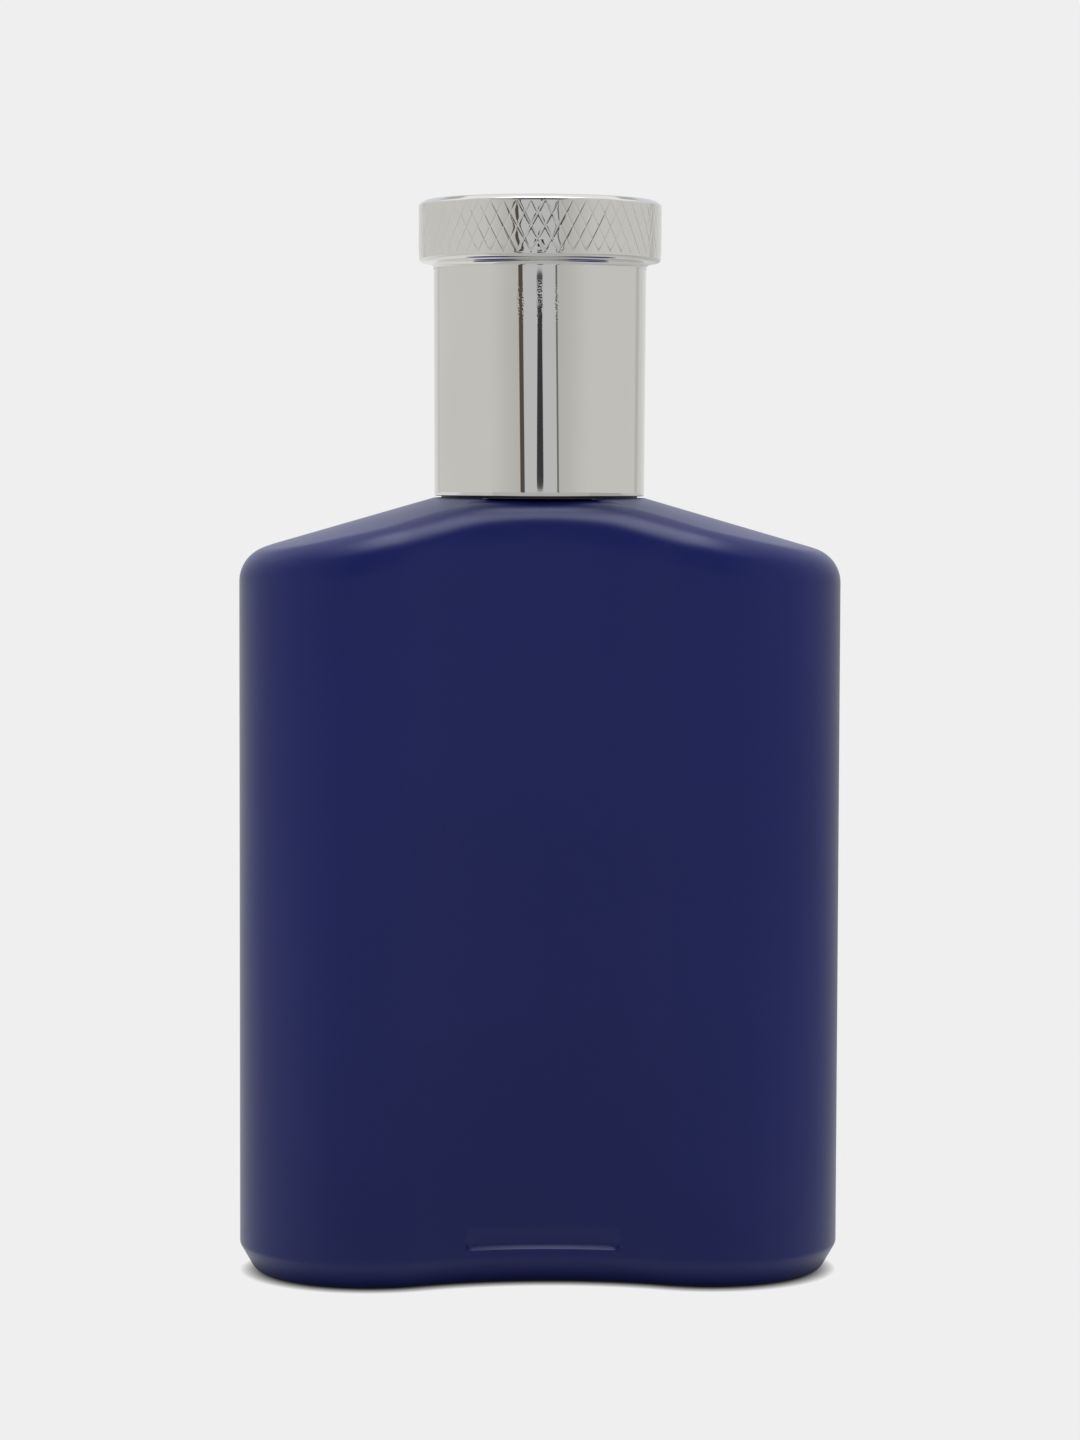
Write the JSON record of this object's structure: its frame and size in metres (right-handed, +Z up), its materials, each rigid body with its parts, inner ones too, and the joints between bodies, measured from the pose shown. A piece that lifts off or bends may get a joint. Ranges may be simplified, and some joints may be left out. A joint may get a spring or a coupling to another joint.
{
  "type": "aftershave spray bottle",
  "caption": "Spray bottle with a bent flask-shaped lacquered glass body, sloped shoulders, a crimped pump and a pull-off metal overcap with a diamond-knurled head ring.",
  "frame": {"origin": "on the plane the base stands on, under the middle of the bottle's outline", "axes": "+Z up along the neck, +X across the wide side, +Y towards the bulged back, so the hollow face looks along -Y"},
  "size_m": [0.08, 0.0396, 0.1428],
  "materials": {
    "lacquered_glass": "satin dark blue lacquer on glass",
    "chrome_plate": "polished plate, slightly warm",
    "drawn_aluminium": "bright drawn sheet",
    "spring_steel": "drawn wire",
    "pump_plastic": "natural moulded",
    "piston_plastic": "natural moulded",
    "tube_plastic": "translucent extruded",
    "liner_plastic": "moulded, black",
    "button_plastic": "moulded",
    "nozzle_plastic": "moulded",
    "seal_rubber": "moulded"
  },
  "bodies": {
    "flask": {"bottle": "lacquered_glass", "neck_gasket": "seal_rubber", "pump_housing": "pump_plastic", "dip_tube": "tube_plastic", "return_spring": "spring_steel", "stem_gasket": "seal_rubber", "pump_turret": "pump_plastic", "crimp_ferrule": "drawn_aluminium", "collar_insert": "liner_plastic", "collar_shell": "chrome_plate"},
    "inlet_ball": {"inlet_ball": "spring_steel"},
    "plunger": {"pump_stem": "pump_plastic", "valve_pin": "pump_plastic"},
    "piston": {"pump_piston": "piston_plastic"},
    "actuator": {"actuator_core": "button_plastic", "actuator_sleeve": "chrome_plate", "nozzle_insert": "nozzle_plastic"},
    "overcap": {"cap_sleeve": "chrome_plate", "cap_knurled_ring": "chrome_plate", "cap_top_disc": "chrome_plate", "cap_liner": "liner_plastic"}
  },
  "joints": [
    {"name": "overcap_lift", "type": "slide", "parent": "flask", "child": "overcap", "axis": [0, 0, 1], "range_m": [0, 0.045]},
    {"name": "pump_press", "type": "slide", "parent": "flask", "child": "plunger", "axis": [0, 0, -1], "range_m": [0, 0.0045], "stiffness_N_per_m": 1500, "springref_m": -0.004, "deforming": ["return_spring"]},
    {"name": "piston_slide", "type": "slide", "parent": "flask", "child": "piston", "axis": [0, 0, -1], "range_m": [0, 0.00424]},
    {"name": "actuator_swivel", "type": "hinge", "parent": "plunger", "child": "actuator", "pos_m": [0, 0.00235, 0.1225], "axis": [0, 0, 1], "continuous": true},
    {"name": "inlet_ball_lift", "type": "slide", "parent": "flask", "child": "inlet_ball", "axis": [0, 0, 1], "range_m": [0, 0.0008]}
  ],
  "couplings": [
    {"joint": "piston_slide", "follows": "pump_press", "ratio": 0.94}
  ]
}
